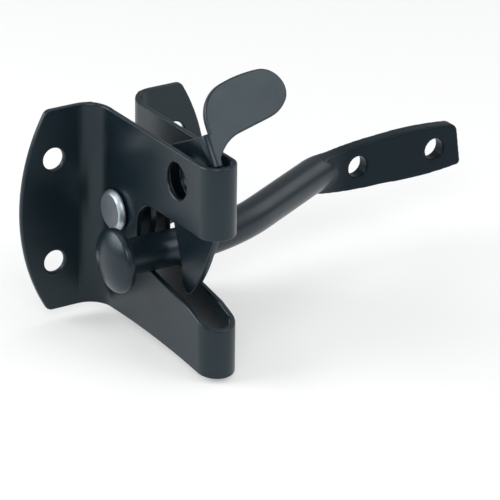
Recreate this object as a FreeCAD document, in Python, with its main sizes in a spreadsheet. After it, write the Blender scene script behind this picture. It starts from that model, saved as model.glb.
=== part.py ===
import FreeCAD, Part
import math
import os

import Sketcher

# Gravity gate latch, in millimetres.
# X runs along the strike bar towards the gate, +Y points into the post, Z is up.
# The origin is the middle of the four screw holes, on the back plane of the flanges.

os.makedirs("parts", exist_ok=True)
doc = FreeCAD.newDocument("GateLatch")
sheet = doc.addObject("Spreadsheet::Sheet", "Sizes")

# Driving dimensions and the places that follow from them.
# A text that starts with an equals sign is worked out from the cells above it.
SIZES = [
    # folded housing
    ("sheetgauge", "1.9"),
    ("gap_inside", "9.8"),
    ("depth", "74.8"),
    ("flange_half_width", "37.2"),
    ("flange_corner_across", "26.8"),
    ("flange_top", "37.3"),
    ("bend_top", "36.4"),
    ("flange_bottom", "-37.2"),
    ("flange_corner_round", "3"),
    ("bend_radius", "8"),
    ("nose_bottom", "-40"),
    ("lower_edge_radius", "400"),
    ("nose_top", "36.2"),
    ("screw_hole_radius", "4"),
    ("screw_spacing_across", "48.2"),
    ("screw_spacing_up", "38.1"),
    ("inner_half", "=gap_inside / 2"),
    ("outer_half", "=inner_half + sheetgauge"),
    ("bend_centre_across", "=outer_half + bend_radius"),
    ("bend_centre_back", "=-sheetgauge - bend_radius"),
    ("nose_centre", "=outer_half - depth"),
    ("flange_arc_rise", "=flange_half_width - flange_corner_across"),
    ("flange_arc_half", "=(flange_top - flange_bottom) / 2"),
    ("flange_arc_radius", "=(flange_arc_half ^ 2 + flange_arc_rise ^ 2) / (2 * flange_arc_rise)"),
    ("full_turn", "360"),
    ("screw_across", "=screw_spacing_across / 2"),
    ("screw_up", "=screw_spacing_up / 2"),
    # strike bar and the mouth that takes it
    ("bar_radius", "6.35"),
    ("bar_back", "-35.6"),
    ("seat_radius", "7.4"),
    ("seat_bottom", "-13.37"),
    ("rest_clearance", "0.02"),
    ("mouth_top", "10.3"),
    ("mouth_round", "10"),
    ("lip_drop", "0.2"),
    ("ramp_fall", "4.4"),
    ("ramp_knee_behind_nose", "12.8"),
    ("jaw_drop", "4.8"),
    ("ramp_knee_back", "=ramp_knee_behind_nose - depth"),
    ("bar_up", "=seat_bottom + bar_radius + rest_clearance"),
    ("mouth_rear", "=bar_back + seat_radius"),
    ("seat_centre_up", "=seat_bottom + seat_radius"),
    ("lip_up", "=seat_bottom + lip_drop"),
    ("lip_back", "=bar_back - sqrt(seat_radius ^ 2 - (seat_radius - lip_drop) ^ 2)"),
    ("knee_up", "=lip_up - ramp_fall"),
    ("jaw_tip_up", "=knee_up - jaw_drop"),
    ("cut_over", "5"),
    ("cut_through", "=4 * flange_half_width"),
    ("front_open", "=-depth - cut_over"),
    ("ramp_slope", "=jaw_drop / (depth + ramp_knee_back)"),
    ("front_open_up", "=jaw_tip_up - ramp_slope * cut_over"),
    ("mouth_round_up", "=mouth_top - mouth_round"),
    ("mouth_round_back", "=mouth_rear - mouth_round"),
    # pivot rivet and its spacers
    ("pivot_back", "-14.9"),
    ("pivot_up", "1.5"),
    ("shank_radius", "3.2"),
    ("shank_clearance", "0.05"),
    ("rivet_head_radius", "7.3"),
    ("rivet_head_height", "3.0"),
    ("rivet_top_radius", "6.1"),
    ("rivet_foot_height", "0.7"),
    ("rivet_rim_height", "1.6"),
    ("rivet_foot_radius", "5"),
    ("rivet_tail_radius", "4.9"),
    ("rivet_tail_rim", "0.7"),
    ("rivet_tail_height", "2.6"),
    ("spacer_radius", "6.2"),
    ("side_play", "0.3"),
    ("pivot_hole_radius", "=shank_radius + shank_clearance"),
    ("rivet_cap", "=rivet_head_height - rivet_rim_height"),
    ("rivet_cap_radius", "=sqrt(((rivet_head_radius ^ 2 - rivet_top_radius ^ 2 - rivet_cap ^ 2)"
     " / (2 * rivet_cap)) ^ 2 + rivet_head_radius ^ 2)"),
    ("rivet_tail_dome", "=rivet_tail_height - rivet_tail_rim"),
    ("rivet_tail_curve", "=(rivet_tail_radius ^ 2 + rivet_tail_dome ^ 2) / (2 * rivet_tail_dome)"),
    # lever
    ("lever_thick", "2.4"),
    ("lobe_radius", "13.4"),
    ("padlock_behind_nose", "21.2"),
    ("padlock_up", "25.6"),
    ("padlock_radius", "6.35"),
    ("padlock_lever_extra", "0.5"),
    ("stop_clearance", "0.35"),
    ("throat_top", "6.2"),
    ("throat_front_back", "-42.5"),
    ("hook_rear_back", "-48"),
    ("hook_rear_up", "-8"),
    ("hook_bottom", "-17.7"),
    ("hook_tip_back", "-53.2"),
    ("hook_round", "2.4"),
    ("hook_tip_rise", "0.6"),
    ("cam_radius", "60"),
    ("cam_behind_nose", "9.6"),
    ("cam_middle_up", "0.8"),
    ("stop_low", "21"),
    ("stop_high", "27"),
    ("crease_behind_nose", "6.8"),
    ("crease_up", "34.1"),
    ("leaf_lean", "35.5"),
    ("neck_width", "11.8"),
    ("neck_root_back", "1.5"),
    ("neck_root_drop", "1"),
    ("lobe_end_angle", "30"),
    ("lever_top_behind_padlock", "11.6"),
    ("lever_top_up", "34"),
    ("leaf_bend_inside", "0.2"),
    ("leaf_span", "29.69"),
    ("leaf_reach", "34.58"),
    ("leaf_side_across", "1.7"),
    ("leaf_side_up", "14.9"),
    ("leaf_shoulder", "13.08"),
    ("leaf_top_across", "11"),
    ("leaf_top_up", "27.4"),
    ("leaf_crown", "53.5"),
    ("leaf_far_across", "26.54"),
    ("leaf_far_round", "8.54"),
    ("leaf_end_up", "23.99"),
    ("leaf_end_round", "6.98"),
    ("leaf_turn_across", "33.17"),
    ("leaf_turn_up", "16.98"),
    ("leaf_turn_round", "13.66"),
    ("leaf_low_across", "26.04"),
    ("leaf_low_up", "12.83"),
    ("leaf_notch_across", "13"),
    ("leaf_notch_up", "9.9"),
    ("leaf_notch_round", "16"),
    ("leaf_neck_across", "2.9"),
    ("leaf_neck_up", "2.6"),
    ("leaf_neck_foot", "2.6"),
    ("padlock_back", "=padlock_behind_nose - depth"),
    ("lever_top_back", "=padlock_back + lever_top_behind_padlock"),
    ("cam_middle_back", "=cam_behind_nose - depth"),
    ("crease_back", "=crease_behind_nose - depth"),
    ("lever_half", "=lever_thick / 2"),
    ("spacer_length", "=inner_half - lever_half - side_play"),
    ("spacer_start", "=inner_half - spacer_length"),
    ("stop_back", "=nose_centre - sqrt(inner_half ^ 2 - lever_half ^ 2) + stop_clearance"),
    ("padlock_lever_radius", "=padlock_radius + padlock_lever_extra"),
    ("leaf_bend_outside", "=leaf_bend_inside + lever_thick"),
    ("neck_low_back", "=crease_back + leaf_bend_outside * cos(leaf_lean)"),
    ("neck_low_up", "=crease_up - leaf_bend_outside * sin(leaf_lean)"),
    ("neck_high_back", "=neck_low_back + neck_width * sin(leaf_lean)"),
    ("neck_high_up", "=neck_low_up + neck_width * cos(leaf_lean)"),
    ("lobe_throat_back", "=pivot_back - sqrt(lobe_radius ^ 2 - (throat_top - pivot_up) ^ 2)"),
    ("lobe_end_back", "=pivot_back + lobe_radius * sin(lobe_end_angle)"),
    ("lobe_end_rise", "=lobe_radius * cos(lobe_end_angle)"),
    # blade and head of the strike
    ("bend_angle", "28.5"),
    ("bar_bend_radius", "86"),
    ("bar_bend_across", "25.3"),
    ("head_across", "-18"),
    ("head_radius", "11.3"),
    ("head_rim", "1.5"),
    ("head_band", "1.7"),
    ("head_dome", "3.2"),
    ("head_edge_round", "0.8"),
    ("blade_back", "-2.5"),
    ("blade_thick", "5.6"),
    ("run_out_over", "0.4"),
    ("blade_start", "76"),
    ("blade_start_half", "3.6"),
    ("blade_shoulder", "81"),
    ("blade_shoulder_half", "7.2"),
    ("blade_shoulder_rise", "6"),
    ("blade_top_shoulder", "84"),
    ("blade_swell", "160"),
    ("blade_wide_across", "108"),
    ("blade_wide_half", "8.75"),
    ("blade_end_half", "7.9"),
    ("blade_end_top", "140.9"),
    ("blade_end_slant", "2.2"),
    ("blade_top_round", "3"),
    ("blade_bottom_round", "1.5"),
    ("gate_hole_across", "97.8"),
    ("gate_hole_spacing", "33.5"),
    ("gate_hole_radius", "4"),
    ("head_front", "=head_across - head_band - head_rim"),
    ("head_face", "=head_radius - head_edge_round"),
    ("head_dome_radius", "=(head_face ^ 2 + head_dome ^ 2) / (2 * head_dome)"),
    ("bar_bend_tangent", "=bar_bend_radius * tan(bend_angle / 2)"),
    ("bar_bend_start", "=bar_bend_across - bar_bend_tangent"),
    ("bar_bend_end_across", "=bar_bend_across + bar_bend_tangent * cos(bend_angle)"),
    ("bar_bend_end_back", "=bar_back + bar_bend_tangent * sin(bend_angle)"),
    ("blade_front", "=blade_back - blade_thick"),
    ("run_out_back", "=blade_front + bar_radius * cos(bend_angle) + run_out_over"),
    ("run_out_length", "=(run_out_back - bar_bend_end_back) / sin(bend_angle)"),
    ("blade_end_bottom", "=blade_end_top + blade_end_slant"),
]

for row, (alias, text) in enumerate(SIZES, start=1):
    sheet.set("A%d" % row, alias)
    sheet.setAlias("B%d" % row, alias)
    sheet.set("B%d" % row, text)
doc.recompute()


def size(alias):
    return float(sheet.get(alias))


# A place in a sketch is an alias, a signed alias or a short formula of aliases.
def formula(text):
    words = sorted((alias for alias, _ in SIZES), key=len, reverse=True)
    out = []
    word = ""
    for letter in text + " ":
        if letter.isalnum() or letter == "_":
            word += letter
            continue
        out.append("Sizes." + word if word in words else word)
        out.append(letter)
        word = ""
    return "".join(out).strip()


def value(text):
    return float(sheet.evalExpression(formula(text)))


def new_body(label):
    body = doc.addObject("PartDesign::Body", label)
    body.Label = label
    return body


def plane_sketch(body, name, role):
    sketch = body.newObject("Sketcher::SketchObject", name)
    plane = next(item for item in body.Origin.OriginFeatures if item.Role == role)
    sketch.AttachmentSupport = [(plane, "")]
    sketch.MapMode = "FlatFace"
    return sketch


# Sketch that follows the leaf: its origin is the lower end of the crease and it leans
# back by leaf_lean about X.
def tilted_sketch(body, name, role):
    sketch = plane_sketch(body, name, role)
    turn = FreeCAD.Rotation(FreeCAD.Vector(1, 0, 0), -size("leaf_lean"))
    sketch.AttachmentOffset = FreeCAD.Placement(FreeCAD.Vector(), turn)
    sketch.setExpression("AttachmentOffset.Rotation.Angle", formula("-leaf_lean"))
    across, along = ("crease_back", "crease_up") if role == "XY_Plane" else ("crease_up", "-crease_back")
    sketch.setExpression("AttachmentOffset.Base.y", formula(across))
    sketch.setExpression("AttachmentOffset.Base.z", formula(along))
    return sketch


def bind(sketch, index, label, text):
    sketch.renameConstraint(index, label)
    sketch.setExpression("Constraints." + label, formula(text))


# Pins one point of a sketch to two named places.
def pin(sketch, geometry, point, label, across, up):
    for kind, tail, text in (("DistanceX", "x", across), ("DistanceY", "y", up)):
        index = sketch.addConstraint(Sketcher.Constraint(kind, geometry, point, value(text)))
        bind(sketch, index, label + tail, text)


def arc_centre(start, end, radius, side):
    middle = (start + end) / 2
    chord = end - start
    rise = math.sqrt(max(radius ** 2 - (chord.Length / 2) ** 2, 0))
    across = FreeCAD.Vector(-chord.y, chord.x, 0).normalize()
    return middle + across * rise * side


# Open or closed outline through named corners. A corner is (across, up), and a third entry
# (radius, side) makes the edge that leaves it an arc, with its centre to the left of
# the way along when side is 1 and to the right when it is -1.
def outline(sketch, name, corners, closed=True):
    points = [FreeCAD.Vector(value(corner[0]), value(corner[1]), 0) for corner in corners]
    count = len(corners)
    edges = count if closed else count - 1
    first = sketch.GeometryCount
    ends = []
    for here in range(edges):
        start = points[here]
        end = points[(here + 1) % count]
        if len(corners[here]) == 2:
            sketch.addGeometry(Part.LineSegment(start, end), False)
            ends.append((1, 2))
            continue
        radius, side = corners[here][2]
        centre = arc_centre(start, end, value(radius), side)
        from_angle = math.atan2(start.y - centre.y, start.x - centre.x)
        to_angle = math.atan2(end.y - centre.y, end.x - centre.x)
        circle = Part.Circle(centre, FreeCAD.Vector(0, 0, 1), value(radius))
        if side == 1:
            sketch.addGeometry(Part.ArcOfCircle(circle, from_angle, to_angle), False)
            ends.append((1, 2))
        else:
            sketch.addGeometry(Part.ArcOfCircle(circle, to_angle, from_angle), False)
            ends.append((2, 1))
    for here in range(count if closed else edges - 1):
        after = (here + 1) % count
        sketch.addConstraint(Sketcher.Constraint(
            "Coincident", first + here, ends[here][1], first + after, ends[after][0]))
    for here in range(edges):
        label = "%s%d" % (name, here)
        pin(sketch, first + here, ends[here][0], label, corners[here][0], corners[here][1])
        if len(corners[here]) == 3:
            radius = corners[here][2][0]
            index = sketch.addConstraint(
                Sketcher.Constraint("Radius", first + here, value(radius)))
            bind(sketch, index, label + "r", radius)
    if not closed:
        last = corners[-1]
        pin(sketch, first + edges - 1, ends[-1][1], name + "end", last[0], last[1])


def circle(sketch, name, across, up, radius):
    shape = Part.Circle(
        FreeCAD.Vector(value(across), value(up), 0), FreeCAD.Vector(0, 0, 1), value(radius))
    place = sketch.addGeometry(shape, False)
    pin(sketch, place, 3, name, across, up)
    index = sketch.addConstraint(Sketcher.Constraint("Radius", place, value(radius)))
    bind(sketch, index, name + "r", radius)


# Pad whose length is a formula; both_ways spreads it evenly about the sketch.
def pad(body, sketch, name, length, both_ways=False):
    feature = body.newObject("PartDesign::Pad", name)
    feature.Profile = sketch
    feature.setExpression("Length", formula(length))
    feature.SideType = "Symmetric" if both_ways else "One side"
    return feature


# Pocket that has to take something away, or the model stops.
def pocket(body, sketch, name, length, both_ways=False, reverse=False):
    doc.recompute()
    before = body.Shape.Volume
    feature = body.newObject("PartDesign::Pocket", name)
    feature.Profile = sketch
    feature.setExpression("Length", formula(length))
    feature.SideType = "Symmetric" if both_ways else "One side"
    feature.Reversed = reverse
    doc.recompute()
    if not body.Shape.Volume < before:
        raise RuntimeError(name + " cuts nothing")
    return feature


# Turns a sketch about one of its axes, all the way round unless an angle is named.
def revolve(body, sketch, name, axis, angle="full_turn"):
    feature = body.newObject("PartDesign::Revolution", name)
    feature.Profile = sketch
    feature.ReferenceAxis = (sketch, [axis])
    feature.setExpression("Angle", formula(angle))
    return feature


# Slack for telling where an edge lies.
NEAR = 0.1


# Straight edge that runs along Y, square to the post.
def along_post(edge):
    box = edge.BoundBox
    return not edge.isClosed() and abs(box.YLength - edge.Length) < NEAR and box.XLength < NEAR


# Rounds the edges that the test picks from the solid made so far.
def round_edges(body, name, radius, test):
    doc.recompute()
    base = body.Tip
    names = ["Edge%d" % (place + 1) for place, edge in enumerate(base.Shape.Edges) if test(edge)]
    if not names:
        raise RuntimeError(name + " finds no edge")
    feature = body.newObject("PartDesign::Fillet", name)
    feature.Base = (base, names)
    feature.setExpression("Radius", formula(radius))
    doc.recompute()
    return feature


# Folded housing: one strip bent round the nose, with a flange on each side
housing = new_body("latch_housing")
plan = plane_sketch(housing, "strip_plan", "XY_Plane")
outline(plan, "p", [
    ("-flange_half_width", "0"),
    ("-bend_centre_across", "0", ("bend_radius + sheetgauge", -1)),
    ("-inner_half", "bend_centre_back"),
    ("-inner_half", "nose_centre", ("inner_half", 1)),
    ("0", "nose_centre - inner_half", ("inner_half", 1)),
    ("inner_half", "nose_centre"),
    ("inner_half", "bend_centre_back", ("bend_radius + sheetgauge", -1)),
    ("bend_centre_across", "0"),
    ("flange_half_width", "0"),
    ("flange_half_width", "-sheetgauge"),
    ("bend_centre_across", "-sheetgauge", ("bend_radius", 1)),
    ("outer_half", "bend_centre_back"),
    ("outer_half", "nose_centre", ("outer_half", -1)),
    ("0", "-depth", ("outer_half", -1)),
    ("-outer_half", "nose_centre"),
    ("-outer_half", "bend_centre_back", ("bend_radius", 1)),
    ("-bend_centre_across", "-sheetgauge"),
    ("-flange_half_width", "-sheetgauge"),
])
strip = pad(housing, plan, "strip", "flange_top")
strip.SideType = "Two sides"
strip.setExpression("Length2", formula("-nose_bottom"))

# the upper edge steps down to the nose and the lower one falls in a shallow arc
under = plane_sketch(housing, "long_edges", "YZ_Plane")
outline(under, "a", [
    ("-sheetgauge", "flange_top"),
    ("-sheetgauge", "flange_top + cut_over"),
    ("front_open", "flange_top + cut_over"),
    ("front_open", "nose_top"),
    ("-depth", "nose_top"),
    ("bend_centre_back", "bend_top"),
])
outline(under, "u", [
    ("cut_over", "flange_bottom"),
    ("bend_centre_back", "flange_bottom", ("lower_edge_radius", 1)),
    ("-depth", "nose_bottom"),
    ("-depth", "nose_bottom - cut_over"),
    ("cut_over", "nose_bottom - cut_over"),
])
pocket(housing, under, "long_edge_trim", "cut_through", both_ways=True)

# outer edge of each flange is one shallow arc
trim = plane_sketch(housing, "flange_outline", "XZ_Plane")
for side, name in ((1, "r"), (-1, "l")):
    sign = "" if side == 1 else "-"
    outline(trim, name, [
        (sign + "flange_corner_across", "flange_top + cut_over"),
        (sign + "flange_corner_across", "flange_top", ("flange_arc_radius", -side)),
        (sign + "flange_corner_across", "flange_bottom"),
        (sign + "flange_corner_across", "nose_bottom - cut_over"),
        (sign + "(flange_half_width + cut_over)", "nose_bottom - cut_over"),
        (sign + "(flange_half_width + cut_over)", "flange_top + cut_over"),
    ])
pocket(housing, trim, "flange_trim", "cut_through", both_ways=True)


def flange_corner(edge):
    return along_post(edge) and abs(abs(edge.BoundBox.XMin) - size("flange_corner_across")) < NEAR


round_edges(housing, "flange_corners", "flange_corner_round", flange_corner)

# mouth: seat for the bar, ramp down to the jaw, rounded rear corner
mouth = plane_sketch(housing, "mouth_outline", "YZ_Plane")
outline(mouth, "m", [
    ("mouth_rear", "seat_centre_up"),
    ("mouth_rear", "mouth_round_up", ("mouth_round", 1)),
    ("mouth_round_back", "mouth_top"),
    ("front_open", "mouth_top"),
    ("front_open", "front_open_up"),
    ("ramp_knee_back", "knee_up"),
    ("lip_back", "lip_up", ("seat_radius", 1)),
    ("bar_back", "seat_bottom", ("seat_radius", 1)),
])
pocket(housing, mouth, "mouth", "cut_through", both_ways=True)

screws = plane_sketch(housing, "screw_holes", "XZ_Plane")
for column in ("-", ""):
    for level in ("-", ""):
        name = "s%d" % screws.GeometryCount
        circle(screws, name, column + "screw_across", level + "screw_up", "screw_hole_radius")
pocket(housing, screws, "screw_hole_cut", "cut_through", both_ways=True)

bores = plane_sketch(housing, "cross_holes", "YZ_Plane")
circle(bores, "k", "padlock_back", "padlock_up", "padlock_radius")
circle(bores, "q", "pivot_back", "pivot_up", "pivot_hole_radius")
pocket(housing, bores, "cross_hole_cut", "cut_through", both_ways=True)

# Pivot rivet: button head on the left, peened tail on the right
rivet = new_body("pivot_rivet")
turned = plane_sketch(rivet, "rivet_profile", "XY_Plane")
outline(turned, "t", [
    ("-outer_half - rivet_head_height", "0"),
    ("-outer_half - rivet_head_height", "rivet_top_radius", ("rivet_cap_radius", -1)),
    ("-outer_half - rivet_rim_height", "rivet_head_radius"),
    ("-outer_half - rivet_foot_height", "rivet_head_radius"),
    ("-outer_half", "rivet_foot_radius"),
    ("-outer_half", "shank_radius"),
    ("outer_half", "shank_radius"),
    ("outer_half", "rivet_tail_radius"),
    ("outer_half + rivet_tail_rim", "rivet_tail_radius", ("rivet_tail_curve", -1)),
    ("outer_half + rivet_tail_height", "0"),
])
revolve(rivet, turned, "rivet_turning", "H_Axis")
rivet.setExpression("Placement.Base.y", formula("pivot_back"))
rivet.setExpression("Placement.Base.z", formula("pivot_up"))

# Two plain spacers on the rivet keep the lever in the middle of the housing
for side, label in ((-1, "lever_spacer_left"), (1, "lever_spacer_right")):
    ring = new_body(label)
    face = plane_sketch(ring, label + "_face", "YZ_Plane")
    circle(face, "o", "0", "0", "spacer_radius")
    circle(face, "i", "0", "0", "pivot_hole_radius")
    pad(ring, face, label + "_tube", "spacer_length")
    place = "spacer_start" if side == 1 else "-inner_half"
    ring.setExpression("Placement.Base.x", formula(place))
    ring.setExpression("Placement.Base.y", formula("pivot_back"))
    ring.setExpression("Placement.Base.z", formula("pivot_up"))

# Lever: flat plate with a round lobe, a throat over the bar, a hook and a bent thumb leaf
lever = new_body("thumb_lever")
side_view = plane_sketch(lever, "lever_outline", "YZ_Plane")
outline(side_view, "v", [
    ("lobe_throat_back", "throat_top"),
    ("throat_front_back", "throat_top"),
    ("hook_rear_back", "hook_rear_up"),
    ("hook_rear_back", "hook_bottom + hook_round", ("hook_round", 1)),
    ("hook_rear_back - hook_round", "hook_bottom"),
    ("hook_tip_back", "hook_bottom + hook_tip_rise", ("cam_radius", -1)),
    ("cam_middle_back", "cam_middle_up", ("cam_radius", -1)),
    ("stop_back", "stop_low"),
    ("stop_back", "stop_high"),
    ("neck_low_back - neck_root_back", "neck_low_up - neck_root_drop"),
    ("neck_low_back", "neck_low_up"),
    ("neck_high_back", "neck_high_up"),
    ("lever_top_back", "lever_top_up"),
    ("lobe_end_back", "pivot_up + lobe_end_rise", ("lobe_radius", -1)),
    ("lobe_end_back", "pivot_up - lobe_end_rise", ("lobe_radius", -1)),
])
pad(lever, side_view, "lever_plate", "lever_thick", both_ways=True)

# the leaf is the same plate, turned through a right angle at the crease
strip_end = tilted_sketch(lever, "leaf_section", "XY_Plane")
outline(strip_end, "b", [
    ("leaf_reach + cut_over", "0"),
    ("leaf_bend_outside - lever_half", "0", ("leaf_bend_outside", -1)),
    ("-lever_half", "leaf_bend_outside"),
    ("-lever_half", "leaf_bend_outside + lever_thick"),
    ("lever_half", "leaf_bend_outside + lever_thick"),
    ("lever_half", "leaf_bend_outside", ("leaf_bend_inside", 1)),
    ("lever_half + leaf_bend_inside", "lever_thick"),
    ("leaf_reach + cut_over", "lever_thick"),
])
pad(lever, strip_end, "leaf_strip", "leaf_span + cut_over")

above = plane_sketch(lever, "above_lever", "YZ_Plane")
outline(above, "w", [
    ("neck_high_back", "neck_high_up"),
    ("lever_top_back", "lever_top_up"),
    ("lever_top_back + leaf_span * sin(leaf_lean)", "lever_top_up + leaf_span * cos(leaf_lean)"),
    ("neck_high_back + leaf_span * sin(leaf_lean)", "neck_high_up + leaf_span * cos(leaf_lean)"),
])
pocket(lever, above, "lever_top_trim", "cut_through", both_ways=True)

face_view = tilted_sketch(lever, "leaf_outline", "XZ_Plane")
outline(face_view, "f", [
    ("-cut_over", "neck_width"),
    ("leaf_side_across", "neck_width"),
    ("leaf_side_across", "leaf_side_up", ("leaf_shoulder", -1)),
    ("leaf_top_across", "leaf_top_up", ("leaf_crown", -1)),
    ("leaf_far_across", "leaf_span", ("leaf_far_round", -1)),
    ("leaf_reach", "leaf_end_up", ("leaf_end_round", -1)),
    ("leaf_turn_across", "leaf_turn_up", ("leaf_turn_round", -1)),
    ("leaf_low_across", "leaf_low_up"),
    ("leaf_notch_across", "leaf_notch_up", ("leaf_notch_round", 1)),
    ("leaf_neck_across", "leaf_neck_up"),
    ("leaf_neck_foot", "0"),
    ("leaf_reach + 2 * cut_over", "0"),
    ("leaf_reach + 2 * cut_over", "leaf_span + 2 * cut_over"),
    ("-cut_over", "leaf_span + 2 * cut_over"),
])
pocket(lever, face_view, "leaf_trim", "leaf_bend_outside")

drill = plane_sketch(lever, "lever_holes", "YZ_Plane")
circle(drill, "c", "pivot_back", "pivot_up", "pivot_hole_radius")
circle(drill, "d", "padlock_back", "padlock_up", "padlock_lever_radius")
pocket(lever, drill, "lever_hole_cut", "cut_through", both_ways=True)

# Strike: mushroom head, round bar with one long bend, blade pressed flat at the gate end
strike = new_body("strike_bar")
straight = plane_sketch(strike, "straight_section", "YZ_Plane")
straight.setExpression("AttachmentOffset.Base.z", formula("head_across"))
circle(straight, "j", "bar_back", "bar_up", "bar_radius")
pad(strike, straight, "straight_bar", "bar_bend_start - head_across")

bend = plane_sketch(strike, "bend_section", "YZ_Plane")
bend.setExpression("AttachmentOffset.Base.x", formula("bar_back + bar_bend_radius"))
bend.setExpression("AttachmentOffset.Base.z", formula("bar_bend_start"))
circle(bend, "k", "-bar_bend_radius", "bar_up", "bar_radius")
revolve(strike, bend, "long_bend", "V_Axis", "bend_angle")

slant = plane_sketch(strike, "slanted_section", "YZ_Plane")
slant.AttachmentOffset = FreeCAD.Placement(
    FreeCAD.Vector(), FreeCAD.Rotation(FreeCAD.Vector(0, 1, 0), size("bend_angle")))
slant.setExpression("AttachmentOffset.Rotation.Angle", formula("bend_angle"))
slant.setExpression("AttachmentOffset.Base.x", formula("bar_bend_end_back"))
slant.setExpression("AttachmentOffset.Base.z", formula("bar_bend_end_across"))
circle(slant, "l", "0", "bar_up", "bar_radius")
pad(strike, slant, "slanted_bar", "run_out_length")

# the round bar ends flush with the back of the blade
behind = plane_sketch(strike, "behind_blade", "XY_Plane")
outline(behind, "g", [
    ("bar_bend_across", "blade_back"),
    ("blade_end_top", "blade_back"),
    ("blade_end_top", "blade_back + 2 * bar_radius"),
    ("bar_bend_across", "blade_back + 2 * bar_radius"),
])
pocket(strike, behind, "back_trim", "cut_through", both_ways=True)

blade = plane_sketch(strike, "blade_outline", "XZ_Plane")
blade.setExpression("AttachmentOffset.Base.z", formula("-blade_back"))
outline(blade, "n", [
    ("blade_start", "bar_up - blade_start_half"),
    ("blade_start", "bar_up + blade_start_half"),
    ("blade_top_shoulder", "bar_up + blade_shoulder_rise", ("blade_swell", -1)),
    ("blade_wide_across", "bar_up + blade_wide_half", ("blade_swell", -1)),
    ("blade_end_top", "bar_up + blade_end_half"),
    ("blade_end_bottom", "bar_up - blade_end_half", ("blade_swell", -1)),
    ("blade_wide_across", "bar_up - blade_wide_half", ("blade_swell", -1)),
    ("blade_shoulder", "bar_up - blade_shoulder_half"),
])
pad(strike, blade, "blade", "blade_thick")

turn = plane_sketch(strike, "head_profile", "XY_Plane")
turn.setExpression("AttachmentOffset.Base.y", formula("bar_back"))
turn.setExpression("AttachmentOffset.Base.z", formula("bar_up"))
outline(turn, "e", [
    ("head_front - head_dome", "0", ("head_dome_radius", -1)),
    ("head_front", "head_face", ("head_rim", -1)),
    ("head_across - head_band", "head_radius"),
    ("head_across", "head_radius"),
    ("head_across + head_rim", "bar_radius"),
    ("head_across + head_rim", "0"),
])
revolve(strike, turn, "head", "H_Axis")

gate_holes = plane_sketch(strike, "gate_holes", "XZ_Plane")
circle(gate_holes, "x", "gate_hole_across", "bar_up", "gate_hole_radius")
circle(gate_holes, "y", "gate_hole_across + gate_hole_spacing", "bar_up", "gate_hole_radius")
pocket(strike, gate_holes, "gate_hole_cut", "cut_through", both_ways=True)


def blade_top_corner(edge):
    box = edge.BoundBox
    return along_post(edge) and box.XMin > size("blade_end_top") - NEAR and box.ZMin > size("bar_up")


def blade_bottom_corner(edge):
    box = edge.BoundBox
    return along_post(edge) and box.XMin > size("blade_end_top") - NEAR and box.ZMin < size("bar_up")


round_edges(strike, "blade_top_corner_round", "blade_top_round", blade_top_corner)
round_edges(strike, "blade_bottom_corner_round", "blade_bottom_round", blade_bottom_corner)


# Only whole, sound solids are written out
doc.recompute()
failed = [item.Name for item in doc.Objects if "Invalid" in item.State or "Error" in item.State]
if failed:
    raise RuntimeError("not rebuilt: " + ", ".join(failed))
for body in (item for item in doc.Objects if item.TypeId == "PartDesign::Body"):
    shape = body.Shape
    if shape.isNull() or not shape.isValid() or len(shape.Solids) != 1:
        raise RuntimeError(body.Label + " is not one sound solid")
    shape.exportStep("parts/%s.step" % body.Label)
    print(body.Label, round(shape.Volume, 1), shape.BoundBox)
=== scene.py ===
import math

import bpy
from mathutils import Matrix, Vector


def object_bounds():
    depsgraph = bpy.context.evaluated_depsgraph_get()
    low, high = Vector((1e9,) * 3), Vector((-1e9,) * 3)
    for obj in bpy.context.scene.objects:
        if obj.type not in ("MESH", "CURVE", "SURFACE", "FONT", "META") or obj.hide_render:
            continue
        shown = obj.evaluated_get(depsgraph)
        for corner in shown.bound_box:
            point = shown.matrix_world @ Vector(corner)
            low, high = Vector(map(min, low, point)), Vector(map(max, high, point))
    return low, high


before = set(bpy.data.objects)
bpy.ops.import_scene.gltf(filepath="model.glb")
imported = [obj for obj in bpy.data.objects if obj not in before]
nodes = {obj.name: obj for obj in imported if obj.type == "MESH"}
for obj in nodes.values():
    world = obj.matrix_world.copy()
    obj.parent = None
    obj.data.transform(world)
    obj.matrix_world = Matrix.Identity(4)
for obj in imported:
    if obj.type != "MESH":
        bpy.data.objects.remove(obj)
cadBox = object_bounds()
scene = bpy.context.scene
print("frame loaded:", ", ".join(sorted(nodes)))

mm = 0.001  # one millimetre; Blender's unit is the metre

# where the photograph was taken from, in metres and degrees
cameraView = {
    "place": (-0.58692, -1.00287, 0.48451),
    "azimuth": -32.71,
    "elevation": 23.49,
    "roll": 0.78,
    "lens": 260.8,
    "filmWidth": 36,
    "clipNear": 0.05,
    "clipFar": 50,
}


# the direction of a place seen from the latch: azimuth 0 is the front, -90 the head's side
def directionTo(azimuth, elevation):
    az = math.radians(azimuth)
    el = math.radians(elevation)
    return Vector((math.sin(az) * math.cos(el), -math.cos(az) * math.cos(el), math.sin(el)))


def placeCamera(view):
    az = math.radians(view["azimuth"])
    roll = math.radians(view["roll"])
    back = directionTo(view["azimuth"], view["elevation"])
    right = Vector((math.cos(az), math.sin(az), 0))
    up = back.cross(right)
    across = right * math.cos(roll) + up * math.sin(roll)
    above = up * math.cos(roll) - right * math.sin(roll)
    data = bpy.data.cameras.new("photoCamera")
    data.lens = view["lens"]
    data.sensor_width = view["filmWidth"]
    data.clip_start = view["clipNear"]
    data.clip_end = view["clipFar"]
    cam = bpy.data.objects.new("photoCamera", data)
    scene.collection.objects.link(cam)
    turn = Matrix((across, above, back)).transposed().to_4x4()
    cam.matrix_world = Matrix.Translation(Vector(view["place"])) @ turn
    scene.camera = cam


placeCamera(cameraView)
scene.view_settings.view_transform = "Standard"
print("camera placed")


# small helpers for node trees
def newMaterial(name):
    mat = bpy.data.materials.new(name)
    mat.use_nodes = True
    mat.node_tree.nodes.clear()
    return mat, mat.node_tree


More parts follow.
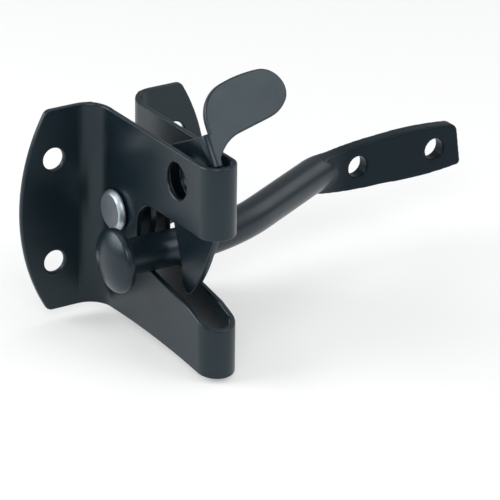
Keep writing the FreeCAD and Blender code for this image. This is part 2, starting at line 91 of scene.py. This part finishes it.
def addNode(tree, kind, x, y, **settings):
    node = tree.nodes.new(kind)
    node.location = (x, y)
    for key, value in settings.items():
        setattr(node, key, value)
    return node


# black powder coat; sizes and heights are in millimetres, bump heights in the bump node's own measure
coatLook = {
    "color": (0.0006, 0.0100, 0.0125),
    "paleColor": (0.0048, 0.0080, 0.0150),
    "glossTint": (0.80, 0.93, 1.0),
    "metallic": 0.0,
    "ior": 1.5,
    "patchSize": 14.0,
    "peelSize": 1.1,
    "peelHeight": 0.004,
    "grainSize": 0.22,
    "grainHeight": 0.0015,
    "roughLow": 0.27,
    "roughHigh": 0.37,
}

# bright zinc plate, with the same measures
zincLook = {
    "color": (0.59, 0.66, 0.71),
    "paleColor": (0.44, 0.51, 0.56),
    "glossTint": (1.0, 1.0, 1.0),
    "metallic": 0.9,
    "ior": 1.5,
    "patchSize": 3.0,
    "peelSize": 0.8,
    "peelHeight": 0.002,
    "grainSize": 0.15,
    "grainHeight": 0.002,
    "roughLow": 0.34,
    "roughHigh": 0.46,
}

# the inputs of the coat group, and the entry of a look that fills each
coatInputs = {
    "Color": "color",
    "Pale Color": "paleColor",
    "Patch Size": "patchSize",
    "Peel Size": "peelSize",
    "Peel Height": "peelHeight",
    "Grain Size": "grainSize",
    "Grain Height": "grainHeight",
    "Rough Low": "roughLow",
    "Rough High": "roughHigh",
}


# patchy tone and roughness, with the fine ripple and grain of a finish
def makeCoatGroup():
    group = bpy.data.node_groups.new("coatSurface", "ShaderNodeTree")
    for socketName in coatInputs:
        kind = "NodeSocketColor" if "Color" in socketName else "NodeSocketFloat"
        group.interface.new_socket(name=socketName, in_out="INPUT", socket_type=kind)
    group.interface.new_socket(name="Color", in_out="OUTPUT", socket_type="NodeSocketColor")
    group.interface.new_socket(name="Roughness", in_out="OUTPUT", socket_type="NodeSocketFloat")
    group.interface.new_socket(name="Normal", in_out="OUTPUT", socket_type="NodeSocketVector")
    inp = addNode(group, "NodeGroupInput", -1200, 0)
    out = addNode(group, "NodeGroupOutput", 700, 0)
    coords = addNode(group, "ShaderNodeTexCoord", -1200, 400)

    def noise(sizeName, y, detail, rough):
        per = addNode(group, "ShaderNodeMath", -900, y, operation="DIVIDE")
        per.inputs[0].default_value = 1 / mm
        group.links.new(inp.outputs[sizeName], per.inputs[1])
        tex = addNode(group, "ShaderNodeTexNoise", -650, y)
        tex.inputs["Detail"].default_value = detail
        tex.inputs["Roughness"].default_value = rough
        group.links.new(per.outputs[0], tex.inputs["Scale"])
        group.links.new(coords.outputs["Object"], tex.inputs["Vector"])
        return tex

    patch = noise("Patch Size", 350, 4.0, 0.55)
    tone = addNode(group, "ShaderNodeMix", -250, 350, data_type="RGBA")
    group.links.new(patch.outputs["Fac"], tone.inputs["Factor"])
    group.links.new(inp.outputs["Color"], tone.inputs[6])
    group.links.new(inp.outputs["Pale Color"], tone.inputs[7])
    group.links.new(tone.outputs[2], out.inputs["Color"])

    smear = noise("Patch Size", 50, 6.0, 0.7)
    rough = addNode(group, "ShaderNodeMapRange", -250, 50)
    rough.inputs["From Min"].default_value = 0.3
    rough.inputs["From Max"].default_value = 0.7
    group.links.new(smear.outputs["Fac"], rough.inputs["Value"])
    group.links.new(inp.outputs["Rough Low"], rough.inputs["To Min"])
    group.links.new(inp.outputs["Rough High"], rough.inputs["To Max"])
    group.links.new(rough.outputs["Result"], out.inputs["Roughness"])

    peel = noise("Peel Size", -250, 1.0, 0.5)
    grain = noise("Grain Size", -550, 2.0, 0.6)
    peelBump = addNode(group, "ShaderNodeBump", 0, -250)
    grainBump = addNode(group, "ShaderNodeBump", 300, -400)
    for tex, heightName, bump in ((peel, "Peel Height", peelBump), (grain, "Grain Height", grainBump)):
        lift = addNode(group, "ShaderNodeMath", -250, bump.location.y, operation="MULTIPLY")
        group.links.new(tex.outputs["Fac"], lift.inputs[0])
        group.links.new(inp.outputs[heightName], lift.inputs[1])
        bump.inputs["Strength"].default_value = 1.0
        bump.inputs["Distance"].default_value = mm
        group.links.new(lift.outputs[0], bump.inputs["Height"])
    group.links.new(peelBump.outputs["Normal"], grainBump.inputs["Normal"])
    group.links.new(grainBump.outputs["Normal"], out.inputs["Normal"])
    return group


coatGroup = makeCoatGroup()


def finishMaterial(name, look):
    mat, tree = newMaterial(name)
    out = addNode(tree, "ShaderNodeOutputMaterial", 600, 0)
    shader = addNode(tree, "ShaderNodeBsdfPrincipled", 300, 0)
    cover = addNode(tree, "ShaderNodeGroup", 0, 0, node_tree=coatGroup)
    for socketName, key in coatInputs.items():
        value = look[key]
        cover.inputs[socketName].default_value = (*value, 1) if "Color" in socketName else value
    tree.links.new(cover.outputs["Color"], shader.inputs["Base Color"])
    tree.links.new(cover.outputs["Roughness"], shader.inputs["Roughness"])
    tree.links.new(cover.outputs["Normal"], shader.inputs["Normal"])
    shader.inputs["Metallic"].default_value = look["metallic"]
    shader.inputs["IOR"].default_value = look["ior"]
    shader.inputs["Specular Tint"].default_value = (*look["glossTint"], 1)
    tree.links.new(shader.outputs["BSDF"], out.inputs["Surface"])
    return mat, tree, shader


blackCoat = finishMaterial("blackCoat", coatLook)[0]
brightZinc = finishMaterial("brightZinc", zincLook)[0]
print("materials made")

# how the bevelled pieces are rounded: degrees that count as flat and as an edge, steps round an edge
rounding = {"weld": 0.002, "flatAngle": 0.4, "edgeAngle": 32, "steps": 4}


def weldSkin(piece):
    weld = piece.modifiers.new("weld", "WELD")
    weld.merge_threshold = rounding["weld"] * mm


def coverWith(piece, mat):
    piece.data.materials.clear()
    piece.data.materials.append(mat)


# one finish on a piece, with its edges rounded by a radius in millimetres
def roundEdges(piece, mat, radius):
    coverWith(piece, mat)
    weldSkin(piece)
    flat = piece.modifiers.new("flatFaces", "DECIMATE")
    flat.decimate_type = "DISSOLVE"
    flat.angle_limit = math.radians(rounding["flatAngle"])
    bevel = piece.modifiers.new("softEdges", "BEVEL")
    bevel.width = radius * mm
    bevel.segments = rounding["steps"]
    bevel.limit_method = "ANGLE"
    bevel.angle_limit = math.radians(rounding["edgeAngle"])
    bevel.use_clamp_overlap = False
    bevel.harden_normals = False


# folded sheet; within gapDepth of the post's face, nothing of it is nearer the middle than gapReach
housingForm = {"edge": 0.60, "gapDepth": 1.95, "gapReach": 8.97}


# holds the corner points of the rounded edges out of the gap between the two rear bends
def makeGapTree(mat):
    tree = bpy.data.node_groups.new("clearGap", "GeometryNodeTree")
    tree.interface.new_socket(name="Geometry", in_out="INPUT", socket_type="NodeSocketGeometry")
    tree.interface.new_socket(name="Depth", in_out="INPUT", socket_type="NodeSocketFloat")
    tree.interface.new_socket(name="Reach", in_out="INPUT", socket_type="NodeSocketFloat")
    tree.interface.new_socket(name="Geometry", in_out="OUTPUT", socket_type="NodeSocketGeometry")
    inp = addNode(tree, "NodeGroupInput", -1100, 100)
    out = addNode(tree, "NodeGroupOutput", 900, 0)
    place = addNode(tree, "GeometryNodeInputPosition", -1100, -200)
    parts = addNode(tree, "ShaderNodeSeparateXYZ", -900, -200)
    tree.links.new(place.outputs["Position"], parts.inputs[0])
    side = addNode(tree, "ShaderNodeMath", -600, -100, operation="SIGN")
    tree.links.new(parts.outputs["X"], side.inputs[0])
    fromMiddle = addNode(tree, "ShaderNodeMath", -600, -300, operation="ABSOLUTE")
    tree.links.new(parts.outputs["X"], fromMiddle.inputs[0])
    kept = addNode(tree, "ShaderNodeMath", -400, -300, operation="MAXIMUM")
    tree.links.new(fromMiddle.outputs[0], kept.inputs[0])
    tree.links.new(inp.outputs["Reach"], kept.inputs[1])
    across = addNode(tree, "ShaderNodeMath", -200, -200, operation="MULTIPLY")
    tree.links.new(side.outputs[0], across.inputs[0])
    tree.links.new(kept.outputs[0], across.inputs[1])
    held = addNode(tree, "ShaderNodeCombineXYZ", 0, -200)
    tree.links.new(across.outputs[0], held.inputs["X"])
    tree.links.new(parts.outputs["Y"], held.inputs["Y"])
    tree.links.new(parts.outputs["Z"], held.inputs["Z"])
    behind = addNode(tree, "ShaderNodeMath", -600, 300, operation="ADD")
    tree.links.new(parts.outputs["Y"], behind.inputs[0])
    tree.links.new(inp.outputs["Depth"], behind.inputs[1])
    near = addNode(tree, "FunctionNodeCompare", -300, 300, data_type="FLOAT", operation="GREATER_THAN")
    tree.links.new(behind.outputs[0], near.inputs["A"])
    near.inputs["B"].default_value = 0.0
    move = addNode(tree, "GeometryNodeSetPosition", 200, 0)
    tree.links.new(inp.outputs["Geometry"], move.inputs["Geometry"])
    tree.links.new(near.outputs[0], move.inputs["Selection"])
    tree.links.new(held.outputs[0], move.inputs["Position"])
    real = addNode(tree, "GeometryNodeRealizeInstances", 450, 0)
    tree.links.new(move.outputs[0], real.inputs[0])
    coat = addNode(tree, "GeometryNodeSetMaterial", 650, 0)
    coat.inputs["Material"].default_value = mat
    tree.links.new(real.outputs[0], coat.inputs["Geometry"])
    tree.links.new(coat.outputs[0], out.inputs[0])
    return tree


def clearGap(piece, mat, form):
    tree = makeGapTree(mat)
    idOf = {item.name: item.identifier for item in tree.interface.items_tree if item.in_out == "INPUT"}
    gap = piece.modifiers.new("clearGap", "NODES")
    gap.node_group = tree
    gap[idOf["Depth"]] = form["gapDepth"] * mm
    gap[idOf["Reach"]] = form["gapReach"] * mm


roundEdges(nodes["latch_housing"], blackCoat, housingForm["edge"])
clearGap(nodes["latch_housing"], blackCoat, housingForm)
print("housing dressed")

leverForm = {"edge": 0.55}
roundEdges(nodes["thumb_lever"], blackCoat, leverForm["edge"])
print("lever dressed")

# pressed from round bar, so every edge runs over softly; from the tongue on, a painted shade makes its
# coat reflect less and so look darker
strikeForm = {
    "voxel": 0.35,
    "easing": 0.5,
    "easingRounds": 20,
    "paintedShadeStart": 82.0,
    "paintedShadeFull": 94.0,
    "paintedShadeShare": 0.65,
}


def makeStrikeCoat(form):
    mat, tree, shader = finishMaterial("strikeCoat", coatLook)
    coords = addNode(tree, "ShaderNodeTexCoord", -600, -400)
    along = addNode(tree, "ShaderNodeSeparateXYZ", -400, -400)
    # painted shade: metallic rises along the blade, so the near-black coat reflects less there and the
    # blade looks darker
    fade = addNode(tree, "ShaderNodeMapRange", -200, -400, interpolation_type="SMOOTHSTEP")
    fade.inputs["From Min"].default_value = form["paintedShadeStart"] * mm
    fade.inputs["From Max"].default_value = form["paintedShadeFull"] * mm
    fade.inputs["To Max"].default_value = form["paintedShadeShare"]
    tree.links.new(coords.outputs["Object"], along.inputs[0])
    tree.links.new(along.outputs["X"], fade.inputs["Value"])
    tree.links.new(fade.outputs["Result"], shader.inputs["Metallic"])
    return mat


def dressStrike(piece, form):
    coverWith(piece, makeStrikeCoat(form))
    weldSkin(piece)
    even = piece.modifiers.new("evenSkin", "REMESH")
    even.mode = "VOXEL"
    even.voxel_size = form["voxel"] * mm
    even.use_smooth_shade = True
    ease = piece.modifiers.new("easedEdges", "SMOOTH")
    ease.factor = form["easing"]
    ease.iterations = form["easingRounds"]


dressStrike(nodes["strike_bar"], strikeForm)
print("strike dressed")

rivetForm = {"edge": 0.35}
roundEdges(nodes["pivot_rivet"], brightZinc, rivetForm["edge"])

spacerForm = {"edge": 0.20}
for spacerName in ("lever_spacer_left", "lever_spacer_right"):
    roundEdges(nodes[spacerName], brightZinc, spacerForm["edge"])
print("rivet and spacers dressed")

# plain room light on a paper floor, which is partly plain white where it is looked at; the gap under the
# latch is in millimetres, the floor's size in metres
studio = {
    "worldStrength": 0.40,
    "worldColor": (0.96, 0.98, 1.0),
    "floorGap": 1.5,
    "floorSize": 6.0,
    "floorColor": (0.93, 0.93, 0.93),
    "floorRough": 0.9,
    "floorWhite": 0.35,
}


def makeWorld(look):
    world = bpy.data.worlds.new("studioWorld")
    scene.world = world
    world.use_nodes = True
    tree = world.node_tree
    tree.nodes.clear()
    out = addNode(tree, "ShaderNodeOutputWorld", 300, 0)
    glow = addNode(tree, "ShaderNodeBackground", 0, 0)
    glow.inputs["Color"].default_value = (*look["worldColor"], 1)
    glow.inputs["Strength"].default_value = look["worldStrength"]
    tree.links.new(glow.outputs[0], out.inputs["Surface"])


# 1 for what is looked at, straight, in a reflection or through glass, and 0 for light that bounces
def seenDirectly(tree, x, y):
    path = addNode(tree, "ShaderNodeLightPath", x - 600, y)
    mirrored = addNode(tree, "ShaderNodeMath", x - 400, y, operation="MAXIMUM")
    tree.links.new(path.outputs["Is Camera Ray"], mirrored.inputs[0])
    tree.links.new(path.outputs["Is Glossy Ray"], mirrored.inputs[1])
    seen = addNode(tree, "ShaderNodeMath", x - 200, y, operation="MAXIMUM")
    tree.links.new(mirrored.outputs[0], seen.inputs[0])
    tree.links.new(path.outputs["Is Transmission Ray"], seen.inputs[1])
    return seen.outputs[0]


def makeFloor(look):
    half = look["floorSize"] / 2
    level = cadBox[0].z - look["floorGap"] * mm
    corners = [(x, y, level) for x, y in ((-half, -half), (half, -half), (half, half), (-half, half))]
    mesh = bpy.data.meshes.new("studioFloor")
    mesh.from_pydata(corners, [], [(0, 1, 2, 3)])
    floor = bpy.data.objects.new("studioFloor", mesh)
    scene.collection.objects.link(floor)
    mat, tree = newMaterial("floorPaper")
    out = addNode(tree, "ShaderNodeOutputMaterial", 700, 0)
    paper = addNode(tree, "ShaderNodeBsdfPrincipled", 0, 0)
    paper.inputs["Base Color"].default_value = (*look["floorColor"], 1)
    paper.inputs["Roughness"].default_value = look["floorRough"]
    white = addNode(tree, "ShaderNodeEmission", 0, -400)
    share = addNode(tree, "ShaderNodeMath", 250, 300, operation="MULTIPLY")
    tree.links.new(seenDirectly(tree, 0, 300), share.inputs[0])
    share.inputs[1].default_value = look["floorWhite"]
    mix = addNode(tree, "ShaderNodeMixShader", 450, 0)
    tree.links.new(share.outputs[0], mix.inputs[0])
    tree.links.new(paper.outputs[0], mix.inputs[1])
    tree.links.new(white.outputs[0], mix.inputs[2])
    tree.links.new(mix.outputs[0], out.inputs["Surface"])
    mesh.materials.append(mat)


makeWorld(studio)
makeFloor(studio)
print("floor and world made")

# soft boxes round the latch: azimuth and elevation in degrees, distance, width and height in metres, watts
lampAim = (0.01, -0.04, 0.0)
lamps = {
    "lampLeft": (-118, 28, 0.85, 0.68, 0.42, 5.0),
    "lampFront": (-33, 36, 0.90, 0.42, 0.28, 2.0),
    "lampLeaf": (38, 38, 0.95, 0.62, 0.55, 2.7),
    "lampRight": (95, 28, 0.85, 0.50, 0.40, 0.8),
    "lampTop": (170, 80, 0.85, 0.86, 0.66, 1.5),
}


def makeLamp(name, azimuth, elevation, distance, width, height, watts):
    away = directionTo(azimuth, elevation)
    data = bpy.data.lights.new(name, "AREA")
    data.shape = "RECTANGLE"
    data.size = width
    data.size_y = height
    data.energy = watts
    lamp = bpy.data.objects.new(name, data)
    scene.collection.objects.link(lamp)
    lamp.location = Vector(lampAim) + away * distance
    lamp.rotation_mode = "QUATERNION"
    lamp.rotation_quaternion = (-away).to_track_quat("-Z", "Y")


for lampName, lampValues in lamps.items():
    makeLamp(lampName, *lampValues)
print("studio lit")
